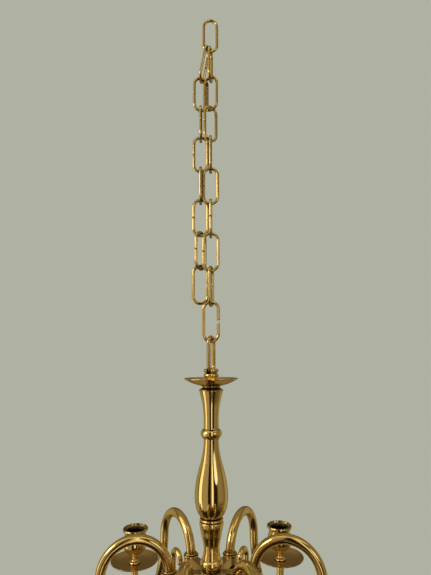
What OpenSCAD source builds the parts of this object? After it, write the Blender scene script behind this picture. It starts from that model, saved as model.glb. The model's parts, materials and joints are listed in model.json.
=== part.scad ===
// Six-arm brass candle chandelier, hanging from a folded oval-link chain.
// Millimetres, +Z up. The origin is the inside top of the top chain link, the point
// that rests on the hook. Everything else hangs below it.

/* [Chain] */
// Diameter of the link wire
wire_d = 3.5; // [3.2:0.1:3.6]
// Outer width of a link
link_w = 20; // [19.6:0.1:21]
// Distance from one link to the next
link_pitch = 40; // [39:0.5:41]
// Play between two links that hang in each other
play = 0.4; // [0.3:0.05:0.5]
// Width of the butt joint in a closed link
seam = 0.5; // [0.3:0.1:1]
// Width of the joint in the two links that have been opened
sprung_seam = 2.6; // [1:0.1:3]

/* [Eye] */
// Diameter of the eye's wire
eye_wire_d = 4.5; // [4:0.1:4.8]
// Outer width of the eye
eye_w = 18; // [17:0.5:20]
// Outer height of the eye
eye_h = 42; // [41:0.5:43]

/* [Stem] */
// Radius of the tie rod that runs through the turnings
rod_r = 3; // [2.5:0.1:3]
// Radial room between the rod and the turnings
rod_room = 0.1; // [0.05:0.05:0.2]
// Radius of the top dish
dish_r = 29.3; // [27:0.1:31]
// Largest radius of the vase
vase_r = 17.4; // [16:0.1:19]
// Radius of the large lower ball
ball_r = 42; // [38:1:45]
// Wall of the spun shells
shell = 1.2; // [1:0.1:1.5]

/* [Hub] */
// Distance from the stem's axis to an arm's swivel axis
collar_reach = 43; // [42:0.5:45]
// Width of a lug
lug_w = 9.5; // [9:0.1:10]
// Radius of the collar that an arm stands in
collar_r = 7.6; // [7.2:0.1:8]
// Angle of the first lug from +X
hub_turn = 2.3; // [0:0.1:5]

/* [Arms] */
// Diameter of the arm tube
tube_d = 10; // [9.6:0.1:10.2]
// Wall of the arm tube
tube_wall = 1.2; // [1:0.1:1.5]
// Radius of the arch above the collar
arch_r = 34; // [33:0.5:35]
// Distance from the stem's axis to a candle's axis
cup_reach = 205; // [200:1:210]
// How far each arm is swivelled from straight out
arm_swing = [-17, 0, 0, 6, 22, -13];
// Diameter of the scroll rod
scroll_d = 6.5; // [6:0.1:7]
// Radius of the scroll's curl
curl_r = 9; // [8.5:0.1:9.5]

/* [Candle cups] */
// Radius of the candle socket
socket_r = 11.75; // [11:0.05:12]
// Radius of the flared mouth above the socket
mouth_r = 13.4; // [12.5:0.1:14]
// Depth of the candle socket below its mouth
socket_depth = 22; // [18:0.5:22]
// Radius of the drip pan
pan_r = 33; // [31:0.5:36]

/* [Pendant ring] */
// Radius of the ring, to the middle of its wire
ring_r = 16; // [15:0.5:18]
// Diameter of the ring's wire
ring_wire_d = 4; // [3.5:0.1:4]

/* [Hidden] */
LINKS_MAIN = 10;
LINKS_SLACK = 8;
ARMS = 6;
// The way each link is turned about the vertical, and the side its seam is on
main_yaw = [0, 80, -25, 35, 90, 0, 90, 0, 77, 0];
main_side = [1, -1, -1, -1, 1, -1, -1, -1, 1, 1];
slack_yaw = [80, 15, 90, 0, 90, 0, 52, -5];
slack_side = [1, -1, -1, -1, 1, -1, -1, 1];
eye_yaw = 67;

crown_r = (link_w - wire_d) / 2;
link_run = link_pitch + play + wire_d;      // wire centre to wire centre
hang = wire_d + play;                       // a hanging wire's height over the one it hangs on
main_top = wire_d / 2;                      // height of the top link's upper wire

// The slack strand's first link lies up the side of the top link's lower crown
slack_slide = 52;
slack_lean = [7.87, 11.35];
slack_head = [-(crown_r - hang) * sin(slack_slide), 0,
              main_top - link_run + crown_r - (crown_r - hang) * cos(slack_slide)];
slack_axis = [-cos(slack_lean.x) * sin(slack_lean.y), sin(slack_lean.x),
              -cos(slack_lean.x) * cos(slack_lean.y)];
slack_second = slack_head + link_run * slack_axis + [0, 0, hang];

eye_top = main_top - (LINKS_MAIN - 1) * link_pitch - link_run + (wire_d + eye_wire_d) / 2 + play;
eye_crown_r = (eye_w - eye_wire_d) / 2;
eye_run = eye_h - eye_wire_d;
eye_foot = eye_top - eye_run - eye_wire_d / 2;
eye_sink = 5.5;                             // how deep the eye stands in the slotted nut
shank_h = 8;

// Lengths of the stem's turnings, from the top
nut_h = 17;
nut_r = 6.3;
nut_ring_r = 2;
dish_drop = 9.9;                            // from the nut's top to the dish's rim
dish_h = 8.4;
dish_foot = 1.3;
neck_h = 4.9;
upper_h = 39.5;
knop_h = 10.1;
vase_h = 77.8;
bead_h = 3.2;
lower_h = 35.5;
hub_ball_h = 11.3;
hub_h = 18.4;
hub_core_r = 14;
hub_neck_r = 10.3;
hub_neck_h = 2.6;
hex_r = 5.77;
hex_h = 5;
lower_neck_h = 13;
finial_h = 34;

nut_top = eye_foot + eye_sink;
dish_rim = nut_top - dish_drop;
neck_top = dish_rim - dish_h;
upper_top = neck_top - neck_h;
knop_top = upper_top - upper_h;
vase_top = knop_top - knop_h;
bead_top = vase_top - vase_h;
lower_top = bead_top - bead_h;
hub_ball_top = lower_top - lower_h;
hub_top = hub_ball_top - hub_ball_h;
hub_foot = hub_top - hub_h;
neck_foot = hub_foot - lower_neck_h;
ball_z = neck_foot - ball_r + 1.6;
ball_foot = ball_z - ball_r + 1.6;
ring_eye_z = ball_foot - finial_h + 7;
rod_bore = rod_r + rod_room;

// Hub and arm levels
collar_top = hub_top - 0.4;
lug_h = 8.7;
lug_foot = collar_top - 0.8 - lug_h;
jaw_gap = 3.5;
jaw_h = 4;
peg_r = 2.5;
arch_z = collar_top - 2;
stop_gap = 0.2;
leg_r = 110;                                // radius of the leg's outward sweep
leg_turn = 30;
leg_run = 40;
sweep_end = [collar_reach + 2 * arch_r + leg_r * (1 - cos(leg_turn)),
             arch_z - leg_r * sin(leg_turn)];
run_end = sweep_end + leg_run * [sin(leg_turn), -cos(leg_turn)];
hook_r = (cup_reach - run_end.x) / (1 + cos(leg_turn));
hook_c = run_end + hook_r * [cos(leg_turn), sin(leg_turn)];
pan_floor = collar_top - 69.2;              // top of the pan's floor
pan_t = 1.2;
tube_end = pan_floor - pan_t;
stud_r = 2.5;
stud_h = 5;
weld_proud = 0.06;

// Scroll levels
curl_c = [collar_reach + 34.5, collar_top - 18];
scroll_leg = 10;
scroll_turn = 70;
scroll_sweep_r = 60;
scroll_mid = [curl_c.x + curl_r + scroll_sweep_r * (1 - cos(scroll_turn)),
              curl_c.y - scroll_leg - scroll_sweep_r * sin(scroll_turn)];
scroll_run = 23;

BRASS = "#c9a227";
PALE_BRASS = "#d4b24c";
DARK_BRASS = "#a67c1e";

function numbered(name, count) = [for (i = [1 : count]) str(name, i)];
$fn = 48;

// A smooth curve through the points p, with n steps between neighbours
function end_clamped(p, i) = p[max(0, min(len(p) - 1, i))];
function spline(p, n = 4) = [
    for (i = [0 : len(p) - 2])
        for (k = [0 : n - 1])
            let (t = k / n, a = end_clamped(p, i - 1), b = p[i], c = p[i + 1],
                 d = end_clamped(p, i + 2))
                0.5 * (2 * b + (c - a) * t + (2 * a - 5 * b + 4 * c - d) * t * t
                       + (3 * b - a - 3 * c + d) * t * t * t),
    p[len(p) - 1]
];

// A turning from the outline [radius, depth below the top], bored for the tie rod
module turned(outline) {
    last = outline[len(outline) - 1];
    rotate_extrude()
        polygon(concat([[rod_bore, outline[0].y]], outline, [[rod_bore, last.y]]));
}

// A round bar along Z, from height low to height high
module post(r, low, high) {
    translate([0, 0, low])
        cylinder(r = r, h = high - low);
}

// A bend in the XZ plane about a centre, starting at an angle from +X and turning towards +Z
module bend(centre, radius, start, sweep, d, bore = 0) {
    translate([centre.x, 0, centre.y])
        rotate([90, 0, 0])
            rotate([0, 0, start])
                rotate_extrude(angle = sweep)
                    translate([radius, 0])
                        ring_section(d, bore);
}

// A straight length in the XZ plane from one point towards an angle from -Z
module run(from, angle, length, d, bore = 0) {
    translate([from.x, 0, from.y])
        rotate([0, 180 - angle, 0])
            linear_extrude(length)
                ring_section(d, bore);
}

// The dressed joint between two lengths of bar, a hair prouder than the bar
module weld(point, d) {
    translate([point.x, 0, point.y])
        sphere(r = d / 2 + weld_proud);
}

module ring_section(d, bore) {
    difference() {
        circle(d = d);
        if (bore > 0)
            circle(d = bore);
    }
}

// A closed oval of wire whose upper wire is centred on the origin
module oval(width_r, run_h, d) {
    side = run_h - 2 * width_r;
    bend([0, -width_r], width_r, 0, 180, d);
    bend([0, -width_r - side], width_r, 180, 180, d);
    for (x = [-width_r, width_r])
        translate([x, 0, 0])
            post(d / 2, -width_r - side, -width_r);
}

module chain_link(side, opening) {
    color(BRASS)
        difference() {
            oval(crown_r, link_run, wire_d);
            translate([side * crown_r, 0, -link_run / 2])
                cube([wire_d + 2, wire_d + 2, opening], center = true);
        }
}

module main_link(n) {
    translate([0, 0, main_top - (n - 1) * link_pitch])
        rotate([0, 0, main_yaw[n - 1]])
            chain_link(main_side[n - 1], n == LINKS_MAIN ? sprung_seam : seam);
}

module slack_link(n) {
    head = n == 1 ? slack_head : slack_second - [0, 0, (n - 2) * link_pitch];
    lean = n == 1 ? [slack_lean.x, slack_lean.y, 0] : [0, 0, 0];
    translate(head)
        rotate(lean)
            rotate([0, 0, slack_yaw[n - 1]])
                chain_link(slack_side[n - 1], n == LINKS_SLACK ? sprung_seam : seam);
}

module eye() {
    color(BRASS) {
        translate([0, 0, eye_top])
            rotate([0, 0, eye_yaw])
                oval(eye_crown_r, eye_run, eye_wire_d);
        post(rod_r, eye_foot - shank_h, eye_foot + eye_wire_d / 2);
    }
}

// A ringed nut, slotted across its head for the eye
module flange_nut() {
    ring_z = [-2, -7];
    slot_depth = eye_sink + 0.1;
    color(BRASS)
        translate([0, 0, nut_top])
            difference() {
                rotate_extrude()
                    difference() {
                        union() {
                            translate([0, -nut_h])
                                square([nut_r, nut_h]);
                            for (z = ring_z)
                                translate([nut_r, z])
                                    circle(r = nut_ring_r);
                        }
                        translate([-5, -nut_h - 1])
                            square([5 + rod_bore, nut_h + 2]);
                    }
                rotate([0, 0, eye_yaw])
                    translate([-15, -eye_wire_d / 2 - 0.1, -slot_depth])
                        cube([30, eye_wire_d + 0.2, slot_depth + 1]);
            }
}

module top_dish() {
    floor_z = -dish_h + dish_foot;
    color(PALE_BRASS)
        translate([0, 0, dish_rim])
            turned(concat(
                [[9, floor_z]],
                spline([[9.4, floor_z], [20, -4.1], [dish_r - 0.8, 0.1]]),
                [[dish_r, -0.3], [dish_r - 0.1, -1.1]],
                spline([[dish_r - 1, -1.4], [20.5, -5.3], [12.2, -7.9], [9.7, -dish_h]])));
}

module neck_collar() {
    color(BRASS)
        translate([0, 0, neck_top])
            turned(concat(
                spline([[9.5, 0], [9.5, -1.1], [10.8, -2.4], [12.7, -3.7]]),
                [[13.4, -4.3], [13.3, -neck_h]]));
}

module upper_spindle() {
    color(BRASS)
        translate([0, 0, upper_top])
            turned(spline([[12.8, 0], [12.1, -2.7], [10.5, -9], [9.4, -14.1], [8.6, -20],
                           [8.1, -27], [8, -37.5], [8.2, -upper_h]]));
}

module knop() {
    color(BRASS)
        translate([0, 0, knop_top])
            turned(spline([[8.2, 0], [10.3, -1.8], [11.3, -4.6], [10.4, -7.9], [8.3, -knop_h]]));
}

module vase() {
    color(BRASS)
        translate([0, 0, vase_top])
            turned(spline([[8.2, 0], [8, -4.5], [8.6, -11], [9.7, -17.5], [12, -26.5],
                           [15.1, -38], [16.7, -47], [vase_r, -57], [16.8, -64.5],
                           [15.4, -70.2], [12.9, -75], [10, -vase_h]]));
}

module bead() {
    color(BRASS)
        translate([0, 0, bead_top])
            turned(spline([[10.2, 0], [11.7, -0.6], [12.2, -1.7], [11.9, -2.7], [11.1, -bead_h]]));
}

module lower_spindle() {
    color(BRASS)
        translate([0, 0, lower_top])
            turned(concat(
                [[11.2, 0]],
                spline([[12.2, -0.6], [12.5, -2], [12.3, -4.5], [11.4, -8.5], [10.4, -14],
                        [9.3, -18], [8.3, -22.5], [8.1, -26.5], [8.4, -30.5],
                        [9.6, -lower_h]])));
}

module hub_ball() {
    color(BRASS)
        translate([0, 0, hub_ball_top])
            turned(concat(
                spline([[9.6, 0], [11.2, -1.7], [11.7, -4.2], [10.9, -6.8], [8.8, -8.8]]),
                [[7.8, -9.3], [7.8, -hub_ball_h]]));
}

// One lug: an upper arm with its collar, a web, and a lower jaw under the collar
module lug() {
    inner = 8;
    web_end = collar_reach - 12;
    translate([inner, -lug_w / 2, lug_foot])
        cube([collar_reach - inner, lug_w, lug_h]);
    translate([inner, -lug_w / 2, lug_foot - jaw_gap])
        cube([web_end - inner, lug_w, jaw_gap]);
    translate([inner, -lug_w / 2, lug_foot - jaw_gap - jaw_h])
        cube([collar_reach - inner, lug_w, jaw_h]);
    translate([collar_reach, 0, 0]) {
        post(collar_r, lug_foot, collar_top);
        post(collar_r + 0.6, collar_top - 1.4, collar_top);
        post(lug_w / 2 + 1.2, lug_foot - jaw_gap - jaw_h, lug_foot - jaw_gap);
    }
}

module arm_hub() {
    color(DARK_BRASS)
        difference() {
            union() {
                post(hub_core_r, hub_foot, hub_top - hub_neck_h);
                post(hub_neck_r, hub_foot, hub_top);
                for (i = [0 : ARMS - 1])
                    rotate([0, 0, hub_turn + i * 360 / ARMS])
                        lug();
            }
            post(rod_bore, hub_foot - 1, hub_top + 1);
            for (i = [0 : ARMS - 1])
                rotate([0, 0, hub_turn + i * 360 / ARMS])
                    translate([collar_reach, 0, 0]) {
                        post(tube_d / 2 + 0.2, lug_foot - 1, collar_top + 1);
                        post(peg_r + 0.08, hub_foot - 1, lug_foot);
                    }
        }
}

module tie_rod() {
    color("#8c8c86")
        post(rod_r, ball_foot - 10, eye_foot - shank_h);
}

module hub_nut() {
    color("#8c8c86")
        difference() {
            translate([0, 0, hub_foot - hex_h])
                cylinder(r = hex_r, h = hex_h, $fn = 6);
            post(rod_bore, hub_foot - hex_h - 1, hub_foot + 1);
        }
}

module lower_neck() {
    color(BRASS)
        difference() {
            translate([0, 0, hub_foot])
                turned(spline([[11, 0], [12.2, -1.6], [11, -3.6], [8.6, -6.5], [9.5, -10],
                               [12.5, -lower_neck_h]]));
            post(hex_r + 0.4, hub_foot - hex_h - 0.6, hub_foot + 1);
            translate([0, 0, ball_z])
                sphere(r = ball_r + 0.05);
        }
}

module lower_ball() {
    color(BRASS)
        translate([0, 0, ball_z])
            difference() {
                sphere(r = ball_r, $fn = 96);
                sphere(r = ball_r - shell, $fn = 96);
                cylinder(r = rod_bore, h = 3 * ball_r, center = true);
            }
}

module finial() {
    tip_z = ring_eye_z - ball_foot;
    color(BRASS)
        difference() {
            union() {
                translate([0, 0, ball_foot])
                    rotate_extrude()
                        polygon(concat(
                            [[0, 0]],
                            spline([[14, 0], [14.8, -1.6], [13.2, -3.4], [8.5, -6], [6.6, -9],
                                    [9.6, -12], [10.2, -14], [8.6, -16.4], [4.6, -20],
                                    [3.8, -23]]),
                            [[0, -23]]));
                translate([0, 0, ring_eye_z])
                    sphere(r = 5.5);
            }
            translate([0, 0, ball_z])
                sphere(r = ball_r + 0.05);
            post(rod_bore, ball_foot - 10.2, ball_foot + 1);
            translate([0, 0, ball_foot + tip_z])
                rotate([0, 90, 0])
                    cylinder(r = ring_wire_d / 2 + 1.2, h = 20, center = true);
        }
}

module pendant_ring() {
    color(BRASS)
        translate([0, 0, ring_eye_z - ring_r])
            rotate([90, 0, 0])
                rotate_extrude()
                    translate([ring_r, 0])
                        circle(d = ring_wire_d);
}

// Puts an arm's own XZ plane where arm n stands, swivelled by its own swing
module at_arm(n) {
    rotate([0, 0, hub_turn + (n - 1) * 360 / ARMS])
        translate([collar_reach, 0, 0])
            rotate([0, 0, arm_swing[n - 1]])
                translate([-collar_reach, 0, 0])
                    children();
}

module arm(n) {
    bore = tube_d - 2 * tube_wall;
    color(BRASS)
        at_arm(n) {
            translate([collar_reach, 0, 0]) {
                post(peg_r, lug_foot - jaw_gap - jaw_h, lug_foot + 1);
                post(tube_d / 2, lug_foot + 0.2, arch_z);
                difference() {
                    post(collar_r - 0.8, collar_top + stop_gap, collar_top + stop_gap + 1.4);
                    translate([0, 0, collar_top - 1])
                        cylinder(r = tube_d / 2 - 1, h = 4);
                }
            }
            bend([collar_reach + arch_r, arch_z], arch_r, 0, 180, tube_d, bore);
            bend([collar_reach + 2 * arch_r + leg_r, arch_z], leg_r, 180, leg_turn, tube_d, bore);
            run(sweep_end, leg_turn, leg_run, tube_d, bore);
            bend(hook_c, hook_r, 180 + leg_turn, 180 - leg_turn, tube_d, bore);
            for (joint = [sweep_end, run_end])
                weld(joint, tube_d);
            translate([cup_reach, 0, 0])
                difference() {
                    union() {
                        post(tube_d / 2 + weld_proud, hook_c.y - 1, tube_end);
                        post(tube_d / 2 + 2, tube_end - 2.6, tube_end);
                    }
                    post(stud_r + 0.1, tube_end - stud_h, tube_end + 1);
                }
        }
}

module scroll(n) {
    color(BRASS)
        at_arm(n) {
            weld([curl_c.x - curl_r, curl_c.y], scroll_d);
            bend(curl_c, curl_r, 0, 180, scroll_d);
            run([curl_c.x + curl_r, curl_c.y], 0, scroll_leg, scroll_d);
            bend([curl_c.x + curl_r + scroll_sweep_r, curl_c.y - scroll_leg], scroll_sweep_r,
                 180, scroll_turn, scroll_d);
            run(scroll_mid, scroll_turn, scroll_run, scroll_d);
            weld(scroll_mid, scroll_d);
        }
}

module pan(n) {
    color(PALE_BRASS)
        at_arm(n)
            translate([cup_reach, 0, pan_floor])
                rotate_extrude()
                    polygon(concat(
                        [[stud_r + 0.1, 0]],
                        spline([[15, 0], [24, 1.1], [pan_r - 1.2, 4.1]]),
                        [[pan_r - 0.2, 4.5], [pan_r, 4]],
                        spline([[pan_r - 0.8, 3], [24.4, -0.1], [15, -pan_t]]),
                        [[stud_r + 0.1, -pan_t]]));
}

module cup(n) {
    rim_z = 45.3;
    mouth_z = rim_z - 3.4;
    socket_top = mouth_z - 2;
    socket_floor = socket_top - socket_depth;
    color(BRASS)
        at_arm(n)
            translate([cup_reach, 0, pan_floor]) {
                rotate_extrude()
                    polygon(concat(
                        [[0, 0], [7.3, 0]],
                        spline([[7.7, 0.8], [7, 2], [4.5, 3.7], [3.7, 7], [4.1, 11.4],
                                [7, 13], [10.8, 14.2], [13.8, 16.9], [15.9, 21],
                                [16.7, 26.5], [16.3, 31.5], [14.3, 36.9]], 3),
                        spline([[14.4, 38.6], [16.3, 40.8], [17.4, 42.3], [17.6, 43.9],
                                [16.9, rim_z]], 3),
                        [[16.1, rim_z - 0.1], [15.5, mouth_z + 0.7], [mouth_r, mouth_z],
                         [socket_r, socket_top], [socket_r, socket_floor], [0, socket_floor]]));
                post(stud_r, 0.2 - pan_t - stud_h, 1);
            }
}

for (i = [1 : LINKS_MAIN])
    main_link(i);
for (i = [1 : LINKS_SLACK])
    slack_link(i);
eye();
flange_nut();
top_dish();
neck_collar();
upper_spindle();
knop();
vase();
bead();
lower_spindle();
hub_ball();
arm_hub();
tie_rod();
hub_nut();
lower_neck();
lower_ball();
finial();
pendant_ring();
for (i = [1 : ARMS]) {
    arm(i);
    scroll(i);
    pan(i);
    cup(i);
}
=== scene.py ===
import json
import math

import bmesh
import bpy
from mathutils import Matrix, Vector


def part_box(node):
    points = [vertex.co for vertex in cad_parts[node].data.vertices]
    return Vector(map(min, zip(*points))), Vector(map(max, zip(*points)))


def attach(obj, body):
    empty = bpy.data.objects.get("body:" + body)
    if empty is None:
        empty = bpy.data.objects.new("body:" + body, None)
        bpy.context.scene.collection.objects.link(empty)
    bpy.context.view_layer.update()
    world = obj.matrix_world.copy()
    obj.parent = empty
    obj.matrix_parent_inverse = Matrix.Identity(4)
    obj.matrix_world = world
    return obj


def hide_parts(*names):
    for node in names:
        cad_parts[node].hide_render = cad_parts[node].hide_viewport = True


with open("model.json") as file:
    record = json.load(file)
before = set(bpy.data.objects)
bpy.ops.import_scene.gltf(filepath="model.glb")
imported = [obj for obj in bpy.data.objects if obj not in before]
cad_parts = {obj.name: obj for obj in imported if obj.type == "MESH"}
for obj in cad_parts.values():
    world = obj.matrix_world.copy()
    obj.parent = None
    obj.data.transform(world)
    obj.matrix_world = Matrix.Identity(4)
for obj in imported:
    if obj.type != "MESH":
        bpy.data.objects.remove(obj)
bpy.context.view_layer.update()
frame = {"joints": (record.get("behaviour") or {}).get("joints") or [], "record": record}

# A six-arm brass candle chandelier on a folded oval-link chain. Each piece below is a finer
# mesh that stands for one CAD node or for a part of one. Lengths are millimetres, except where
# a comment says metres, and mesh_object makes each mesh in metres.

MM = 0.001
TURN = 2 * math.pi
CRISP = 32  # edges sharper than this many degrees aren't smoothed

# Chain and eye. LINK_RUN is from the middle of a link's top wire to the middle of its bottom
# wire. A sprung seam is the gape of an opened last link. The lists say how far each link is
# turned about the vertical, in degrees, and which side its seam is on.
WIRE_R = 1.75
LINK_W = 20.0
LINK_RUN = 43.9
SEAM = 0.8
SPRUNG_SEAM = 2.6
MAIN_YAW = [0, 80, -25, 35, 90, 0, 90, 0, 77, 0]
MAIN_SIDE = [1, -1, -1, -1, 1, -1, -1, -1, 1, 1]
SLACK_YAW = [80, 15, 90, 0, 90, 0, 52, -5]
SLACK_SIDE = [1, -1, -1, -1, 1, -1, -1, 1]
EYE_WIRE_R = 2.25
EYE_W = 18.0
EYE_H = 42.0
EYE_SINK = 5.5
EYE_YAW = 67
SHANK_LENGTH = 8.0

# Stem and hub. The turnings above and below the ball are hollowed to BALL_REST_R, and the ball
# sinks into each of them. Each of the hub's lugs is an upper arm with a collar, and a jaw below
# it for the arm's peg.
ROD_R = 3.0
ROD_BORE = 3.1
BALL_R = 42.0
BALL_REST_R = BALL_R + 0.05
BALL_SINK = 1.6
SHELL = 1.2
COLLAR_R = 7.6
HUB_CORE_R = 14.0
HUB_NECK_R = 10.3
HUB_NECK_H = 2.6
LUG_W = 9.5
LUG_H = 8.7
JAW_GAP = 3.5
JAW_H = 4.0
COLLAR_DROP = 0.4
COLLAR_RISE = 0.8
COLLAR_LIP = 0.6
COLLAR_LIP_H = 1.4
BEARING_ROOM = 0.2
PEG_ROOM = 0.08

# Arms, scrolls and candle cups. Drops are below the top of a collar. LEG is the tube below the
# arch, and JOINT the brazed joint of a scroll with its tube. The cup's heights are above the
# pan's floor.
ARM_COUNT = 6
TUBE_R = 5.0
PEG_R = 2.5
ARCH_DROP = 2.0
ARCH_R = 34.0
LEG_R = 110.0
LEG_TURN = math.radians(30)
LEG_RUN = 40.0
PAN_DROP = 69.2
PAN_T = 1.2
PAN_R = 33.0
SCROLL_R = 3.25
CURL_OUT = 34.5
CURL_DROP = 18.0
CURL_R = 9.0
SCROLL_LEG = 10.0
SCROLL_SWEEP_R = 60.0
SCROLL_TURN = math.radians(70)
SCROLL_RUN = 23.0
JOINT_SWELL = 0.9
JOINT_REACH = 4.5
STUD_LENGTH = 5.0
MOUTH_R = 13.4
MOUTH_FLARE_R = 16.1
MOUTH_DEPTH = 3.4
SOCKET_R = 11.75
SOCKET_TOP = 39.9
SOCKET_DEPTH = 22.0
CUP_RIM = 45.3

# Pendant ring
RING_R = 16.0
RING_WIRE_R = 2.0

# Studio: the camera, and the floor below the lamp, in millimetres and degrees
CAMERA_PLACE = (5.2, -463.0, -420.0)
CAMERA_PITCH = 9.6
CAMERA_ROLL = -0.25
CAMERA_LENS = 25.98
FLOOR_Z = -1500.0


# ---- Outlines and paths ----

def spline(points, steps):
    """A smooth curve through the points, with this many steps between neighbours."""
    points = [Vector(p) for p in points]
    curve = []
    for i in range(len(points) - 1):
        a, b = points[max(i - 1, 0)], points[i]
        c, d = points[i + 1], points[min(i + 2, len(points) - 1)]
        for k in range(steps):
            t = k / steps
            curve.append(0.5 * (2 * b + (c - a) * t + (2 * a - 5 * b + 4 * c - d) * t * t
                                + (3 * b - a - 3 * c + d) * t ** 3))
    return curve + [points[-1]]


def arc(centre, radius, start, sweep, steps):
    """Points of an arc in a plane, from an angle through a sweep, in radians."""
    return [Vector((centre[0] + radius * math.cos(start + sweep * k / steps),
                    centre[1] + radius * math.sin(start + sweep * k / steps)))
            for k in range(steps + 1)]


def straight(start, end, steps):
    """Points of a straight line, its ends included."""
    start, end = Vector(start), Vector(end)
    return [start.lerp(end, k / steps) for k in range(steps + 1)]


def without_repeats(points, closed=False):
    """The points, leaving out each one that lies on the one before it."""
    kept = [points[0]]
    for p in points[1:]:
        if (p - kept[-1]).length > 1e-4:
            kept.append(p)
    if closed and (kept[0] - kept[-1]).length < 1e-4:
        kept.pop()
    return kept


def eased(outline, reach, looped=True):
    """The outline with each sharp corner rounded over a distance along its two sides.

    An outline that isn't looped keeps its two ends as they are."""
    sharp, steps = math.radians(30), 4
    points = without_repeats([Vector(p) for p in outline], looped)
    count = len(points)
    stops = [0.0]
    for a, b in zip(points, points[1:] + points[:1]):
        stops.append(stops[-1] + (b - a).length)
    total = stops.pop()
    if not looped:
        total = stops[-1]

    def at(s):
        """The place at a distance along the outline."""
        if looped:
            s %= total
        s = min(max(s, 0.0), total)
        for i in range(count if looped else count - 1):
            end = stops[i + 1] if i + 1 < count else total
            if s <= end + 1e-9:
                return points[i].lerp(points[(i + 1) % count], (s - stops[i]) / (end - stops[i]))
        return points[-1]

    corners = []
    for i in range(count):
        if not looped and i in (0, count - 1):
            continue
        before = points[i] - points[i - 1]
        after = points[(i + 1) % count] - points[i]
        if before.angle(after) > sharp:
            corners.append(i)
    marks = []
    for n, i in enumerate(corners):
        ahead = stops[corners[(n + 1) % len(corners)]] - stops[i]
        behind = stops[i] - stops[corners[n - 1]]
        if looped:
            ahead, behind = ahead % total or total, behind % total or total
        else:
            ahead = ahead if ahead > 0 else total - stops[i]
            behind = behind if behind > 0 else stops[i]
        marks.append((stops[i], min(reach, 0.45 * ahead, 0.45 * behind)))

    def near_corner(s):
        """Whether a point is on a stretch that a rounded corner replaces."""
        return any(min(abs(s - c), total - abs(s - c)) < cut for c, cut in marks)

    kept = [(s, [p]) for s, p in zip(stops, points) if not near_corner(s)]
    for (c, cut), i in zip(marks, corners):
        a, b, corner = at(c - cut), at(c + cut), points[i]
        bend = []
        for k in range(steps + 1):
            t = k / steps
            bend.append((1 - t) ** 2 * a + 2 * t * (1 - t) * corner + t * t * b)
        kept.append((c, bend))
    kept.sort(key=lambda item: item[0])
    return without_repeats([p for _, group in kept for p in group], looped)


# ---- Surfaces: each is (points, faces, (turns, metres) texture coordinates per corner) ----

def skin(rings, looped=False):
    """The surface through rings of points. A ring of one point closes the surface there."""
    points, starts, along = [], [], [0.0]
    for ring in rings:
        starts.append(len(points))
        points.extend(ring)
    for a, b in zip(rings, rings[1:]):
        along.append(along[-1] + (b[0] - a[0]).length * MM)
    along.append(along[-1] + (rings[0][0] - rings[-1][0]).length * MM)
    faces, corners = [], []
    for i in range(len(rings) if looped else len(rings) - 1):
        j = (i + 1) % len(rings)
        near, far = len(rings[i]), len(rings[j])
        sides = max(near, far)
        if sides == 1:
            continue
        for k in range(sides):
            m = k + 1
            low = [(starts[i] + k % near, k / sides, along[i])]
            if near > 1:
                low.append((starts[i] + m % near, m / sides, along[i]))
            high = [(starts[j] + k % far, k / sides, along[i + 1])]
            if far > 1:
                high.insert(0, (starts[j] + m % far, m / sides, along[i + 1]))
            face = low + high
            faces.append([index for index, _, _ in face])
            corners.extend((turns, metres) for _, turns, metres in face)
    return points, faces, corners


def lathe(outline, sides, looped=True, centre=(0.0, 0.0)):
    """An outline of (radius, height) turned about an upright axis. Radius 0 makes a pole."""
    rings = []
    for radius, height in outline:
        if radius < 1e-6:
            rings.append([Vector((centre[0], centre[1], height))])
            continue
        rings.append([Vector((centre[0] + radius * math.cos(TURN * k / sides),
                              centre[1] + radius * math.sin(TURN * k / sides), height))
                      for k in range(sides)])
    return skin(rings, looped)


def sweep(path, radius, sides, closed=False, ease=(0.4, 0.4)):
    """A round bar along a path. radius is a number, or a function of the length so far.

    ease is how far the edge of each end of an open bar is rounded. The bar's own radius makes
    a domed end."""
    path = without_repeats([Vector(p) for p in path], closed)
    count = len(path)
    size = radius if callable(radius) else lambda length: radius
    tangents = []
    for i in range(count):
        before = path[i - 1] if closed or i else path[0]
        after = path[(i + 1) % count] if closed or i < count - 1 else path[-1]
        tangents.append((after - before).normalized())
    side = tangents[0].orthogonal().normalized()
    length, stations = 0.0, []
    for i in range(count):
        if i:
            length += (path[i] - path[i - 1]).length
        side = (side - tangents[i] * side.dot(tangents[i])).normalized()
        stations.append((path[i], tangents[i], side.copy(), size(length)))

    def ring(centre, tangent, across, r):
        """One ring of points round the path."""
        other = tangent.cross(across)
        return [centre + r * (math.cos(TURN * k / sides) * across
                              + math.sin(TURN * k / sides) * other) for k in range(sides)]

    if closed:
        return skin([ring(*station) for station in stations], looped=True)
    first, last = stations[0], stations[-1]
    caps = []
    for (centre, tangent, across, r), way, edge in ((first, 1, ease[0]), (last, -1, ease[1])):
        steps = 4 if edge < r else 10
        cap = [[centre]]
        for k in range(steps + 1):
            turn = 0.5 * math.pi * k / steps
            inset = r - edge * (1 - math.sin(turn))
            if inset > 0.01:
                cap.append(ring(centre + way * tangent * edge * (1 - math.cos(turn)),
                                tangent, across, inset))
        caps.append(cap)
    body = [ring(*station) for station in stations
            if ease[0] < (station[0] - first[0]).length - 0.01
            and ease[1] < (station[0] - last[0]).length - 0.01]
    return skin(caps[0] + body + caps[1][::-1])


def together(*surfaces):
    """Several surfaces as one."""
    points, faces, corners = [], [], []
    for more_points, more_faces, more_corners in surfaces:
        faces.extend([index + len(points) for index in face] for face in more_faces)
        points.extend(more_points)
        corners.extend(more_corners)
    return points, faces, corners


def placed(surface, matrix):
    """A surface moved by a matrix."""
    points, faces, corners = surface
    return [matrix @ p for p in points], faces, corners


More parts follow.
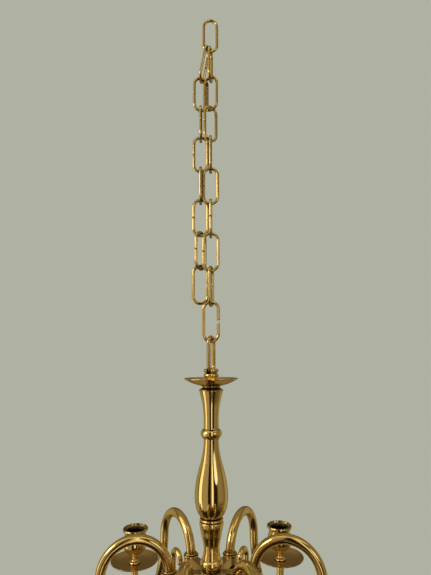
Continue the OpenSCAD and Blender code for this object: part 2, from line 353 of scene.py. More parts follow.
def box(low, high):
    """A plain block, for shapes that are fused afterwards."""
    x, y, z = zip(low, high)
    points = [Vector((x[i], y[j], z[k])) for i in (0, 1) for j in (0, 1) for k in (0, 1)]
    faces = [[0, 1, 3, 2], [4, 6, 7, 5], [0, 4, 5, 1], [2, 3, 7, 6], [0, 2, 6, 4], [1, 5, 7, 3]]
    return points, faces, [(0.0, 0.0)] * 24


def drum(radius, low, high, sides=64, centre=(0.0, 0.0)):
    """A plain upright cylinder, for shapes that are fused or cut afterwards."""
    return lathe([(0, low), (radius, low), (radius, high), (0, high)], sides, False, centre)


# ---- Pieces ----

def mesh_object(name, surface):
    """A mesh object at the origin, its faces turned outwards."""
    points, faces, corners = surface
    mesh = bpy.data.meshes.new(name)
    mesh.from_pydata([p * MM for p in points], [], faces)
    layer = mesh.uv_layers.new(name="path")
    layer.data.foreach_set("uv", [value for corner in corners for value in corner])
    work = bmesh.new()
    work.from_mesh(mesh)
    bmesh.ops.recalc_face_normals(work, faces=work.faces)
    work.to_mesh(mesh)
    work.free()
    made = bpy.data.objects.new(name, mesh)
    bpy.context.scene.collection.objects.link(made)
    return made


def finished(made, node, body, slot, crisp=CRISP):
    """Smooth, coloured, and riding on its CAD body in place of its CAD node."""
    made.data.shade_smooth()
    made.data.set_sharp_from_angle(angle=math.radians(crisp))
    made.data.materials.clear()
    made.data.materials.append(finishes[slot])
    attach(made, body)
    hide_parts(node)
    return made


def with_modifier(made, kind, **settings):
    """Applies one modifier to an object's mesh."""
    modifier = made.modifiers.new(kind, kind)
    for key, value in settings.items():
        setattr(modifier, key, value)
    graph = bpy.context.evaluated_depsgraph_get()
    shaped = bpy.data.meshes.new_from_object(made.evaluated_get(graph))
    made.modifiers.clear()
    made.data = shaped


def carve(made, name, surface):
    """Takes a surface's volume out of an object, leaving no trace of the cutter."""
    cutter = mesh_object(name, surface)
    with_modifier(made, "BOOLEAN", operation="DIFFERENCE", object=cutter, solver="EXACT")
    bpy.data.objects.remove(cutter)


def heights_of(node):
    """A CAD node's lowest and highest z."""
    low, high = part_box(node)
    return low.z / MM, high.z / MM


def top_of(node):
    return heights_of(node)[1]


def middle_of(node):
    """The middle of a CAD node's box."""
    low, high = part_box(node)
    return (low + high) / 2 / MM


def joint(name):
    """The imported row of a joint."""
    return next(j for j in frame["joints"] if j["name"] == name)


def joint_place(name):
    return Vector(joint(name)["pos_m"]) / MM


# ---- Materials ----

class Graph:
    """Adds nodes to a tree. Any input may be given as a number, a colour or another socket."""

    def __init__(self, tree):
        self.tree = tree

    def add(self, kind, inputs=None, **settings):
        """A new node. inputs are by name or number, and settings are its own properties."""
        made = self.tree.nodes.new(kind)
        for key, value in settings.items():
            setattr(made, key, value)
        for key, value in (inputs or {}).items():
            self.join(value, made.inputs[key])
        return made

    def join(self, value, socket):
        if isinstance(value, bpy.types.NodeSocket):
            self.tree.links.new(value, socket)
        else:
            socket.default_value = value

    def math(self, operation, *values):
        return self.add("ShaderNodeMath", dict(enumerate(values)), operation=operation).outputs[0]

    def vector(self, operation, *values):
        return self.add("ShaderNodeVectorMath", dict(enumerate(values)),
                        operation=operation).outputs[0]

    def spread(self, value, low, high, to_low, to_high):
        """value from low..high to to_low..to_high, easing at both ends."""
        inputs = {"Value": value, "From Min": low, "From Max": high,
                  "To Min": to_low, "To Max": to_high}
        return self.add("ShaderNodeMapRange", inputs, interpolation_type="SMOOTHSTEP").outputs[0]

    def mix(self, share, first, second):
        """first where share is 0, second where it is 1."""
        made = self.add("ShaderNodeMix", data_type="RGBA")
        self.join(share, made.inputs["Factor"])
        self.join(first, made.inputs[6])
        self.join(second, made.inputs[7])
        return made.outputs[2]

    def noise(self, place, scale, detail, roughness=0.55):
        inputs = {"Vector": place, "Scale": scale, "Detail": detail, "Roughness": roughness}
        return self.add("ShaderNodeTexNoise", inputs).outputs["Fac"]


def colour(r, g, b):
    return (r, g, b, 1.0)


finishes = {}


def metal(name, light, dark, polish, grain, grain_stretch, grain_depth, wave_depth,
          shade_reach=0.006):
    """Adds a worn metal to the finishes: tarnish in patches, painted shade in hollows, and tool
    marks along or round the piece.

    polish is the roughness of the bright and of the dull areas. grain is how many marks there
    are per metre along the piece, and grain_stretch how many round it. The depths of the marks
    and of the waves under them are millimetres. shade_reach is how far, in metres, the painted
    shade spreads from a hollow. A per-point attribute, where a piece has one, blackens the
    metal as painted shade."""
    made = bpy.data.materials.new(name)
    made.use_nodes = True
    tree = made.node_tree
    tree.nodes.clear()
    g = Graph(tree)
    place = g.add("ShaderNodeTexCoord").outputs["Object"]
    path = g.add("ShaderNodeSeparateXYZ",
                 {0: g.add("ShaderNodeUVMap", uv_map="path").outputs[0]})
    turn = g.math("MULTIPLY", path.outputs[0], TURN)
    marks_place = g.add("ShaderNodeCombineXYZ", {
        0: g.math("MULTIPLY", g.math("COSINE", turn), grain_stretch),
        1: g.math("MULTIPLY", g.math("SINE", turn), grain_stretch),
        2: g.math("MULTIPLY", path.outputs[1], grain)}).outputs[0]
    marks = g.noise(marks_place, 1.0, 4.0, 0.6)
    patches = g.spread(g.noise(place, 42.0, 5.0, 0.62), 0.42, 0.68, 0.0, 1.0)
    specks = g.spread(g.noise(place, 620.0, 2.0), 0.62, 0.72, 0.0, 1.0)
    # Painted shade: ambient occlusion finds the hollows, and their colour is darkened towards a
    # deep tarnish tone.
    open_air = g.add("ShaderNodeAmbientOcclusion", {"Distance": shade_reach},
                     samples=12).outputs["AO"]
    hollow_shade_mask = g.spread(open_air, 0.35, 0.95, 1.0, 0.0)
    painted_shade = g.add("ShaderNodeAttribute", attribute_name="painted_shade").outputs["Fac"]
    clean = g.mix(g.math("MULTIPLY", patches, 0.45), light, dark)
    clean = g.mix(g.math("MULTIPLY", specks, 0.30), clean, dark)
    hollow_shade_colour = colour(*(0.22 * c for c in dark[:3]))
    shown = g.mix(g.math("MULTIPLY", hollow_shade_mask, 0.88), clean, hollow_shade_colour)
    # Painted shade: where the per-point attribute is set, the colour is blackened.
    shown = g.mix(painted_shade, shown, colour(0.035, 0.022, 0.012))
    dull = g.math("ADD", g.math("MULTIPLY", patches, 0.45), g.math("MULTIPLY", marks, 0.35))
    dull = g.math("ADD", dull, g.math("MULTIPLY", g.math("MAXIMUM", hollow_shade_mask, painted_shade), 0.6))
    rough = g.spread(dull, 0.0, 1.0, polish[0], polish[1])
    waves = g.noise(place, 95.0, 2.0, 0.5)
    wavy = g.add("ShaderNodeBump", {"Strength": 1.0, "Distance": wave_depth * MM,
                                    "Height": waves}).outputs[0]
    grained = g.add("ShaderNodeBump", {"Strength": 1.0, "Distance": grain_depth * MM,
                                       "Height": marks, "Normal": wavy}).outputs[0]
    shader = g.add("ShaderNodeBsdfPrincipled", {
        "Base Color": shown, "Metallic": 1.0, "Roughness": rough, "Normal": grained})
    g.add("ShaderNodeOutputMaterial", {"Surface": shader.outputs[0]})
    finishes[name] = made


metal("chain_brass", light=colour(0.68, 0.51, 0.20), dark=colour(0.46, 0.32, 0.11),
      polish=(0.08, 0.26), grain=14.0, grain_stretch=5.0,
      grain_depth=0.003, wave_depth=0.03)
metal("turned_brass", light=colour(0.80, 0.61, 0.25), dark=colour(0.58, 0.40, 0.13),
      polish=(0.06, 0.22), grain=1100.0, grain_stretch=0.6,
      grain_depth=0.0006, wave_depth=0.02)
metal("spun_brass", light=colour(0.56, 0.39, 0.14), dark=colour(0.40, 0.26, 0.08),
      polish=(0.18, 0.38), grain=900.0, grain_stretch=0.8,
      grain_depth=0.0012, wave_depth=0.05)
metal("tube_brass", light=colour(0.74, 0.55, 0.21), dark=colour(0.50, 0.34, 0.11),
      polish=(0.10, 0.30), grain=14.0, grain_stretch=5.0,
      grain_depth=0.002, wave_depth=0.02)
metal("cast_brass", light=colour(0.56, 0.40, 0.16), dark=colour(0.34, 0.22, 0.07),
      polish=(0.16, 0.45), grain=40.0, grain_stretch=6.0,
      grain_depth=0.012, wave_depth=0.06, shade_reach=0.014)
metal("rod_steel", light=colour(0.55, 0.54, 0.51), dark=colour(0.33, 0.30, 0.26),
      polish=(0.30, 0.55), grain=40.0, grain_stretch=9.0,
      grain_depth=0.01, wave_depth=0.05)


def add_piece(name, surface, node, body, slot, crisp=CRISP):
    """One visible piece from a surface."""
    return finished(mesh_object(name, surface), node, body, slot, crisp)


# ---- Chain ----

def oval_path(half_w, run, opening, side):
    """The centreline of a link: its upper wire is centred on the origin, and it runs from one
    face of the seam, halfway up one side, round to the other. No opening makes a closed loop."""
    seam_z = -run / 2
    upper, lower = -half_w, half_w - run
    flat = straight((half_w, seam_z + opening / 2), (half_w, upper), 6)
    flat += arc((0, upper), half_w, 0, math.pi, 28)
    flat += straight((-half_w, upper), (-half_w, lower), 10)
    flat += arc((0, lower), half_w, math.pi, math.pi, 28)
    flat += straight((half_w, lower), (half_w, seam_z - opening / 2), 6)
    return [Vector((side * x, 0, z)) for x, z in flat]


def link_surface(side, opening, matrix):
    """A wire bent to an oval, with the butt joint of its two ends on one side. The ends are
    eased, so the joint looks wider than its opening."""
    path = oval_path(LINK_W / 2 - WIRE_R, LINK_RUN, opening, side)
    return placed(sweep(path, WIRE_R, 24, ease=(0.5, 0.5)), matrix)


def turned_about_z(degrees):
    return Matrix.Rotation(math.radians(degrees), 4, "Z")


def hanging_link(node, yaw, side, opening):
    """An upright link, at the place of its CAD node."""
    middle = middle_of(node)
    head = Vector((middle.x, middle.y, top_of(node) - WIRE_R))
    surface = link_surface(side, opening, Matrix.Translation(head) @ turned_about_z(yaw))
    add_piece(f"{node}_wire", surface, node, node, "chain_brass")


def leaning_link():
    """The slack strand's first link, which lies against the side of the crown it hangs on."""
    head, foot = joint_place("slack_swing_1"), joint_place("slack_swing_2")
    axis = (foot - head).normalized()
    lean_x = math.asin(axis.y)
    lean_y = math.atan2(-axis.x, -axis.z)
    matrix = (Matrix.Translation(head) @ Matrix.Rotation(lean_y, 4, "Y")
              @ Matrix.Rotation(lean_x, 4, "X") @ turned_about_z(SLACK_YAW[0]))
    surface = link_surface(SLACK_SIDE[0], SEAM, matrix)
    add_piece("slack_link_1_wire", surface, "slack_link_1", "slack_link_1", "chain_brass")


for n, (yaw, side) in enumerate(zip(MAIN_YAW, MAIN_SIDE), 1):
    hanging_link(f"main_link_{n}", yaw, side, SPRUNG_SEAM if n == len(MAIN_YAW) else SEAM)
leaning_link()
for n, (yaw, side) in enumerate(zip(SLACK_YAW[1:], SLACK_SIDE[1:]), 2):
    hanging_link(f"slack_link_{n}", yaw, side, SPRUNG_SEAM if n == len(SLACK_YAW) else SEAM)


# ---- Stem ----

def eye_and_shank():
    """A closed loop of thick wire with a short shank below it, which the nut grips."""
    head = top_of("eye") - EYE_WIRE_R
    foot = top_of("eye") - EYE_H
    loop = oval_path(EYE_W / 2 - EYE_WIRE_R, EYE_H - 2 * EYE_WIRE_R, 0, 1)
    matrix = Matrix.Translation((0, 0, head)) @ turned_about_z(EYE_YAW)
    add_piece("eye_loop", placed(sweep(loop, EYE_WIRE_R, 32, closed=True), matrix),
              "eye", "stem", "chain_brass")
    shank = eased([(0, foot - SHANK_LENGTH), (ROD_R, foot - SHANK_LENGTH),
                   (ROD_R, foot + EYE_WIRE_R), (0, foot + EYE_WIRE_R)], 0.4, looped=False)
    add_piece("eye_shank", lathe(shank, 48, False), "eye", "stem", "chain_brass")


def bored(profile, bore=ROD_BORE):
    """A turning's whole outline: its profile, closed on the inside by its bore."""
    return [(bore, profile[0][1])] + [tuple(p) for p in profile] + [(bore, profile[-1][1])]


def turning(node, profile, ease=0.25, sides=112):
    """A turned piece of the stem. Its profile is (radius, height from its own top)."""
    top = top_of(node)
    outline = eased([(r, top + z) for r, z in bored(profile)], ease)
    add_piece(f"{node}_turning", lathe(outline, sides), node, "stem", "turned_brass")


def flange_nut():
    """A round nut with two rounded flanges, slotted across its head for the eye."""
    top = top_of("flange_nut")
    core, flange, height = 6.3, 2.0, 17.0
    profile = [(core - 0.6, 0)]
    for z in (-2.0, -7.0):
        profile += [tuple(p) for p in arc((core, z), flange, 0.5 * math.pi, -math.pi, 16)]
    profile += [(core, -height + 0.5), (core, -height)]
    outline = eased([(r, top + z) for r, z in bored(profile)], 0.3)
    made = mesh_object("flange_nut_turning", lathe(outline, 112))
    half = EYE_WIRE_R + 0.1
    slot = box((-15, -half, top - EYE_SINK - 0.1), (15, half, top + 1))
    carve(made, "eye_slot", placed(slot, turned_about_z(EYE_YAW)))
    finished(made, "flange_nut", "stem", "turned_brass")


eye_and_shank()
flange_nut()
turning("neck_collar", spline([(9.5, 0), (9.5, -1.1), (10.8, -2.4), (12.7, -3.7)], 6)
        + [(13.4, -4.3), (13.3, -4.9)], 0.3)
turning("upper_spindle", spline([(12.8, 0), (12.1, -2.7), (10.5, -9), (9.4, -14.1), (8.6, -20),
                                 (8.1, -27), (8, -37.5), (8.2, -39.5)], 6))
turning("knop", spline([(8.2, 0), (10.3, -1.8), (11.3, -4.6), (10.4, -7.9), (8.3, -10.1)], 6))
turning("vase", spline([(8.2, 0), (8, -4.5), (8.6, -11), (9.7, -17.5), (12, -26.5), (15.1, -38),
                        (16.7, -47), (17.4, -57), (16.8, -64.5), (15.4, -70.2), (12.9, -75),
                        (10, -77.8)], 6), 0.3, 128)
turning("bead", spline([(10.2, 0), (11.7, -0.6), (12.2, -1.7), (11.9, -2.7), (11.1, -3.2)], 5),
        0.15)
turning("lower_spindle", [(11.2, 0)]
        + spline([(12.2, -0.6), (12.5, -2), (12.3, -4.5), (11.4, -8.5), (10.4, -14), (9.3, -18),
                  (8.3, -22.5), (8.1, -26.5), (8.4, -30.5), (9.6, -35.5)], 6))
turning("hub_ball", spline([(9.6, 0), (11.2, -1.7), (11.7, -4.2), (10.9, -6.8), (8.8, -8.8)], 6)
        + [(7.8, -9.3), (7.8, -11.3)])


def top_dish():
    """A shallow turned dish with a thin rim, which stands round the foot of the nut."""
    rim = top_of("top_dish") - 0.1
    profile = [(9.0, -7.1)]
    profile += spline([(9.4, -7.1), (20, -4.1), (28.5, 0.1)], 12)
    profile += [(29.3, -0.3), (29.2, -1.1)]
    profile += spline([(28.3, -1.4), (20.5, -5.3), (12.2, -7.9), (9.7, -8.4)], 12)
    outline = eased([(r, rim + z) for r, z in bored(profile)], 0.3)
    add_piece("top_dish_shell", lathe(outline, 144), "top_dish", "stem", "turned_brass")


def lower_neck():
    """The turning between the hub and the ball, recessed for the nut on the rod."""
    top = top_of("lower_neck")
    recess_r, recess_depth, height = 6.17, 5.6, 13.0
    ball_z = top - height - BALL_R + BALL_SINK
    profile = spline([(11, 0), (12.2, -1.6), (11, -3.6), (8.6, -6.5), (9.5, -10),
                      (12.5, -height)], 6)
    seat = [(r, ball_z + math.sqrt(BALL_REST_R ** 2 - r ** 2) - top)
            for r in (12.4, 9.3, 6.2, ROD_BORE)]
    inside = [(ROD_BORE, -recess_depth), (recess_r, -recess_depth), (recess_r, 0)]
    outline = [tuple(p) for p in profile[:-1]] + seat + inside
    outline = eased([(r, top + z) for r, z in outline], 0.25)
    add_piece("lower_neck_turning", lathe(outline, 96), "lower_neck", "stem", "turned_brass")


def lower_ball():
    """Two spun half shells closed by a fine raised seam, with a hole at each pole."""
    middle = middle_of("lower_ball").z
    seam_rise, seam_half = 0.15, 0.5
    outer, inner = BALL_R - seam_rise, BALL_R - SHELL
    hole = math.acos(ROD_BORE / outer)
    upper = [tuple(p) for p in arc((0, middle), outer, hole, -hole + seam_half / outer, 48)]
    lower = [(r, 2 * middle - z) for r, z in reversed(upper)]
    lip = [(BALL_R, middle + 0.6 * seam_half), (BALL_R, middle - 0.6 * seam_half)]
    hole_inside = math.acos(ROD_BORE / inner)
    lining = [tuple(p) for p in arc((0, middle), inner, -hole_inside, 2 * hole_inside, 64)]
    outline = eased(upper + lip + lower + lining, 0.2)
    add_piece("lower_ball_shell", lathe(outline, 160), "lower_ball", "stem", "spun_brass")


def finial():
    """The finial under the ball, with a cross-bored ball at its tip that the ring hangs in."""
    seat_top = heights_of("lower_ball")[0] + BALL_SINK
    ring_z = joint_place("ring_swing").z
    tip_r, tip_neck_r, cross_r, bore_depth = 5.5, 3.8, RING_WIRE_R + 1.2, 10.2
    ball_z = middle_of("lower_ball").z
    seat = [(r, ball_z - math.sqrt(BALL_REST_R ** 2 - r ** 2))
            for r in (ROD_BORE, 6.2, 10.0, 13.9)]
    profile = spline([(14, 0), (14.8, -1.6), (13.2, -3.4), (8.5, -6), (6.6, -9), (9.6, -12),
                      (10.2, -14), (8.6, -16.4), (4.6, -20), (tip_neck_r, -22.4)], 6)
    body = [(r, seat_top + z) for r, z in profile]
    join = math.asin(tip_neck_r / tip_r)
    ball = arc((0, ring_z), tip_r, 0.5 * math.pi - join, join - math.pi, 40)
    outline = [(0, seat_top - bore_depth), (ROD_BORE, seat_top - bore_depth)] + seat + body
    outline += [tuple(p) for p in ball[1:-1]] + [(0, ring_z - tip_r)]
    made = mesh_object("finial_turning", lathe(eased(outline, 0.3, looped=False), 96, False))
    along_x = Matrix.Rotation(math.radians(90), 4, "Y")
    carve(made, "cross_bore",
        placed(drum(cross_r, -12, 12, 64), Matrix.Translation((0, 0, ring_z)) @ along_x))
    finished(made, "finial", "stem", "turned_brass")


def pendant_ring():
    """A plain wire ring, threaded through the finial's cross bore."""
    middle = middle_of("pendant_ring")
    circle = [Vector((middle.x + p.x, middle.y, middle.z + p.y))
              for p in arc((0, 0), RING_R, 0, TURN, 96)]
    add_piece("pendant_ring_wire", sweep(circle, RING_WIRE_R, 32, closed=True),
              "pendant_ring", "pendant_ring", "chain_brass")


def threaded_rod():
    """The long rod inside the stem, threaded at both ends, with a chamfer on each end."""
    low, high = heights_of("tie_rod")
    pitch, depth, thread, runout, chamfer, sides, rows = 1.0, 0.45, 26.0, 1.5, 0.5, 24, 5
    heights = [low + k * pitch / rows for k in range(int(thread * rows) + 1)]
    heights += [high - thread + k * pitch / rows for k in range(int(thread * rows) + 1)]

    def radius(z, turns):
        """The rod's radius at a height, some turns round it."""
        inside = min(z - low, high - z)
        if inside > thread - runout:
            return ROD_R
        ramp = min(1.0, (inside + 0.3) / 1.2)
        groove = abs((z / pitch - turns) % 1.0 - 0.5) * 2
        return ROD_R - depth * groove - chamfer * (1 - ramp)

    rings = [[Vector((0, 0, low))]]
    for z in heights:
        rings.append([Vector((radius(z, k / sides) * math.cos(TURN * k / sides),
                              radius(z, k / sides) * math.sin(TURN * k / sides), z))
                      for k in range(sides)])
    rings.append([Vector((0, 0, high))])
    add_piece("tie_rod_bar", skin(rings), "tie_rod", "stem", "rod_steel", 50)


def hex_nut():
    """A hexagon nut with chamfered corners, on the rod under the hub."""
    low, high = heights_of("hub_nut")
    flat_r, corner_r, bore_chamfer, sides = 5.0, 5.77, 0.4, 96
    chamfer = [(0.0, 0.0), (0.15, 0.26), (0.3, 0.52), (0.45, 0.77)]
    levels = [(low + rise, limit) for rise, limit in chamfer]
    levels += [(high - rise, limit) for rise, limit in reversed(chamfer)]

    def ring(z, limit):
        """One level of the outside: a hexagon whose corners reach the limit past its flats."""
        points = []
        for k in range(sides):
            angle = TURN * k / sides
            across = (angle + math.pi / 6) % (math.pi / 3) - math.pi / 6
            r = min(corner_r * math.cos(math.pi / 6) / math.cos(across), flat_r + limit)
            points.append(Vector((r * math.cos(angle), r * math.sin(angle), z)))
        return points

    def bore(z, r):
        """One level of the inside."""
        return [Vector((r * math.cos(TURN * k / sides), r * math.sin(TURN * k / sides), z))
                for k in range(sides)]

    rings = [ring(z, limit) for z, limit in levels]
    rings += [bore(high, ROD_BORE + bore_chamfer), bore(high - bore_chamfer, ROD_BORE),
              bore(low + bore_chamfer, ROD_BORE), bore(low, ROD_BORE + bore_chamfer)]
    add_piece("hub_nut_hexagon", skin(rings, looped=True), "hub_nut", "stem", "rod_steel", 20)


top_dish()
lower_neck()
lower_ball()
finial()
pendant_ring()
threaded_rod()
hex_nut()


# ---- Hub ----

hub_low, hub_high = heights_of("arm_hub")
collar_top = hub_high - COLLAR_DROP
collars = [joint_place(f"arm_swivel_{n}") for n in range(1, ARM_COUNT + 1)]
collar_reach = collars[0].xy.length
lug_foot = collar_top - COLLAR_RISE - LUG_H


def lug():
    """One lug along +X: an upper arm with its collar, a web, and a jaw under the collar."""
    inner, web_end, half = HUB_CORE_R - 6, collar_reach - 12, LUG_W / 2
    jaw_top = lug_foot - JAW_GAP
    at = (collar_reach, 0)
    return together(
        box((inner, -half, lug_foot), (collar_reach, half, lug_foot + LUG_H)),
        box((inner, -half, jaw_top), (web_end, half, lug_foot)),
        box((inner, -half, jaw_top - JAW_H), (collar_reach, half, jaw_top)),
        drum(COLLAR_R, lug_foot, collar_top, centre=at),
        drum(COLLAR_R + COLLAR_LIP, collar_top - COLLAR_LIP_H, collar_top, centre=at),
        drum(half + 1.2, jaw_top - JAW_H, jaw_top, centre=at))


def bearing_cuts():
    """What is bored out of the hub: a hole for the rod, and a bearing and a peg hole per lug."""
    cuts = [drum(ROD_BORE, hub_low - 1, hub_high + 1)]
    for collar in collars:
        at = (collar.x, collar.y)
        cuts.append(drum(TUBE_R + BEARING_ROOM, lug_foot - 0.4, collar_top + 1, centre=at))
        cuts.append(drum(PEG_R + PEG_ROOM, hub_low - 1, lug_foot - JAW_GAP + 1, 48, centre=at))
    return together(*cuts)


def arm_hub():
    """A cast body with six lugs, its edges softened by fettling, then bored."""
    parts = [drum(HUB_CORE_R, hub_low, hub_high - HUB_NECK_H, 96),
             drum(HUB_NECK_R, hub_low, hub_high, 96)]
    for collar in collars:
        turn = Matrix.Rotation(math.atan2(collar.y, collar.x), 4, "Z")
        parts.append(placed(lug(), turn))
    made = mesh_object("arm_hub_casting", together(*parts))
    with_modifier(made, "REMESH", mode="VOXEL", voxel_size=0.5 * MM, adaptivity=0.0)
    with_modifier(made, "SMOOTH", factor=0.5, iterations=2)
    carve(made, "bearings", bearing_cuts())
    finished(made, "arm_hub", "stem", "cast_brass", 40)


arm_hub()


# ---- Arms ----

arch_z = collar_top - ARCH_DROP
pan_floor = collar_top - PAN_DROP


def arm_plane(n):
    """Takes an arm's own upright plane, its collar on the origin, to where arm n stands. The
    middle of its swivel's range is straight out."""
    low, high = joint(f"arm_swivel_{n}")["range_deg"]
    collar = collars[n - 1]
    heading = math.atan2(collar.y, collar.x) - math.radians((low + high) / 2)
    return Matrix.Translation((collar.x, collar.y, 0)) @ Matrix.Rotation(heading, 4, "Z")


def upright(points):
    """Flat (out, up) points, stood up in the arm's own plane."""
    return [Vector((p[0], 0, p[1])) for p in points]


def tube_path(cup_out):
    """The arm's centreline: up out of the collar, over the arch, down and outwards, and round
    a hook up to the pan. cup_out is how far the candle stands from the collar."""
    mouth = lug_foot + 0.2
    sweep_out = 2 * ARCH_R + LEG_R * (1 - math.cos(LEG_TURN))
    sweep_down = arch_z - LEG_R * math.sin(LEG_TURN)
    run_out = sweep_out + LEG_RUN * math.sin(LEG_TURN)
    run_down = sweep_down - LEG_RUN * math.cos(LEG_TURN)
    hook_r = (cup_out - run_out) / (1 + math.cos(LEG_TURN))
    hook = (run_out + hook_r * math.cos(LEG_TURN), run_down + hook_r * math.sin(LEG_TURN))
    flat = straight((0, mouth), (0, arch_z), 4)
    flat += arc((ARCH_R, arch_z), ARCH_R, math.pi, -math.pi, 60)
    flat += arc((2 * ARCH_R + LEG_R, arch_z), LEG_R, math.pi, LEG_TURN, 32)
    flat += straight((sweep_out, sweep_down), (run_out, run_down), 12)
    flat += arc(hook, hook_r, math.pi + LEG_TURN, math.pi - LEG_TURN, 50)
    flat += straight((cup_out, hook[1]), (cup_out, pan_floor - PAN_T), 4)
    return upright(flat)


def scroll_path():
    """The scroll rod's centreline: round its curl, down and outwards into the arm."""
    curl = (CURL_OUT, collar_top - CURL_DROP)
    outer = curl[0] + CURL_R
    knee = (outer + SCROLL_SWEEP_R * (1 - math.cos(SCROLL_TURN)),
            curl[1] - SCROLL_LEG - SCROLL_SWEEP_R * math.sin(SCROLL_TURN))
    end = (knee[0] + SCROLL_RUN * math.sin(SCROLL_TURN),
           knee[1] - SCROLL_RUN * math.cos(SCROLL_TURN))
    flat = straight((curl[0] - CURL_R, curl[1] - SCROLL_R), (curl[0] - CURL_R, curl[1]), 2)
    flat += arc(curl, CURL_R, math.pi, -math.pi, 40)
    flat += straight((outer, curl[1]), (outer, curl[1] - SCROLL_LEG), 3)
    flat += arc((outer + SCROLL_SWEEP_R, curl[1] - SCROLL_LEG), SCROLL_SWEEP_R,
                math.pi, SCROLL_TURN, 36)
    flat += straight(knee, end, 6)
    return upright(flat)


def pan_outline():
    """A shallow spun pan with a turned-down rim, from its centre hole outwards."""
    hole = PEG_R + 0.1
    outline = [(hole, 0)] + spline([(15, 0), (24, 1.1), (PAN_R - 1.2, 4.1)], 12)
    outline += [(PAN_R - 0.2, 4.5), (PAN_R, 4)]
    outline += spline([(PAN_R - 0.8, 3), (24.4, -0.1), (15, -PAN_T)], 12)
    return eased([(r, pan_floor + z) for r, z in outline + [(hole, -PAN_T)]], 0.35)


def cup_outline():
    """A turned urn on a stem, with a rolled lip, a flared mouth and a deep socket, and its stud
    below the pan."""
    stud_foot, floor = 0.2 - PAN_T - STUD_LENGTH, SOCKET_TOP - SOCKET_DEPTH
    outline = [(0, stud_foot), (PEG_R, stud_foot), (PEG_R, 0), (7.3, 0)]
    outline += spline([(7.7, 0.8), (7, 2), (4.5, 3.7), (3.7, 7), (4.1, 11.4), (7, 13),
                       (10.8, 14.2), (13.8, 16.9), (15.9, 21), (16.7, 26.5), (16.3, 31.5),
                       (14.3, 36.9)], 6)
    outline += spline([(14.4, 38.6), (16.3, 40.8), (17.4, 42.3), (17.6, 43.9), (16.9, CUP_RIM)], 6)
    outline += [(MOUTH_FLARE_R, CUP_RIM - 0.1), (15.5, CUP_RIM - MOUTH_DEPTH + 0.7),
                (MOUTH_R, CUP_RIM - MOUTH_DEPTH), (SOCKET_R, SOCKET_TOP),
                (SOCKET_R, floor), (3.0, floor), (0, floor - 0.8)]
    return eased([(r, pan_floor + z) for r, z in outline], 0.3, looped=False)


def mark_socket_shade(made, centre):
    """Marks a candle cup for its material to read: painted shade blackens the socket fully, and
    the mouth and the rim half as much."""
    mouth_z = pan_floor + CUP_RIM - MOUTH_DEPTH
    floor_z = pan_floor + SOCKET_TOP - SOCKET_DEPTH - 2
    rim_z = pan_floor + CUP_RIM - 1
    painted_shade = made.data.attributes.new("painted_shade", "FLOAT", "POINT")
    for vertex, mark in zip(made.data.vertices, painted_shade.data):
        place = vertex.co / MM
        reach = (place.xy - centre.xy).length
        # Painted shade: the inside of the socket is blackened fully, and the mouth and rim half as
        # much.
        if reach < MOUTH_R + 0.2 and floor_z < place.z < mouth_z + 0.3:
            mark.value = 1.0
        elif place.z > rim_z or (reach < MOUTH_FLARE_R + 0.1 and place.z > mouth_z - 0.3):
            mark.value = 0.5


def ring_outline(inner, outer, low, high):
    """The outline of a flat ring, for the lathe."""
    return [(inner, low), (outer, low), (outer, high), (inner, high)]


def one_arm(n):
    """Arm n with its scroll, pan and cup, all riding on the arm's own body."""
    body = f"arm_{n}"
    plane = arm_plane(n)
    cup = Vector(next(m for m in frame["record"]["mounts"]
                      if m["name"] == f"candle_socket_{n}")["pos_m"]) / MM
    cup_out = (cup.xy - collars[n - 1].xy).length
    at_cup = plane @ Matrix.Translation((cup_out, 0, 0))
    tube = sweep(tube_path(cup_out), TUBE_R, 48)
    add_piece(f"arm_{n}_tube", placed(tube, plane), body, body, "tube_brass")
    stop_low = collar_top + 0.2
    stop = eased(ring_outline(TUBE_R - 0.05, COLLAR_R - 0.8, stop_low, stop_low + 1.4), 0.45)
    add_piece(f"arm_{n}_stop_ring", placed(lathe(stop, 72), plane), body, body, "tube_brass")
    peg = eased([(0, hub_low), (PEG_R, hub_low), (PEG_R, lug_foot + 1), (0, lug_foot + 1)],
                0.5, looped=False)
    add_piece(f"arm_{n}_peg", placed(lathe(peg, 40, False), plane), body, body, "tube_brass")
    boss = eased(ring_outline(TUBE_R - 0.05, TUBE_R + 2, pan_floor - PAN_T - 2.6,
                              pan_floor - PAN_T), 0.6)
    add_piece(f"arm_{n}_boss", placed(lathe(boss, 72), at_cup), body, body, "tube_brass")

    path = scroll_path()
    whole = sum((b - a).length for a, b in zip(path, path[1:]))

    def rod(length):
        """The rod's radius, swelling into the brazed joint where it meets the tube."""
        from_joint = whole - length - TUBE_R - 1.5
        swell = max(0.0, 1 - abs(from_joint) / JOINT_REACH)
        return SCROLL_R + JOINT_SWELL * swell * swell

    add_piece(f"scroll_{n}_rod", placed(sweep(path, rod, 36, ease=(SCROLL_R, 0.7)), plane),
              f"scroll_{n}", body, "tube_brass")
    add_piece(f"pan_{n}_shell", placed(lathe(pan_outline(), 144), at_cup),
              f"pan_{n}", body, "spun_brass")
    turned_cup = placed(lathe(cup_outline(), 112, False), at_cup)
    mark_socket_shade(add_piece(f"cup_{n}_turning", turned_cup, f"cup_{n}", body, "turned_brass"), cup)


for n in range(1, ARM_COUNT + 1):
    one_arm(n)


# ---- Studio ----

WALL = colour(0.43, 0.445, 0.365)


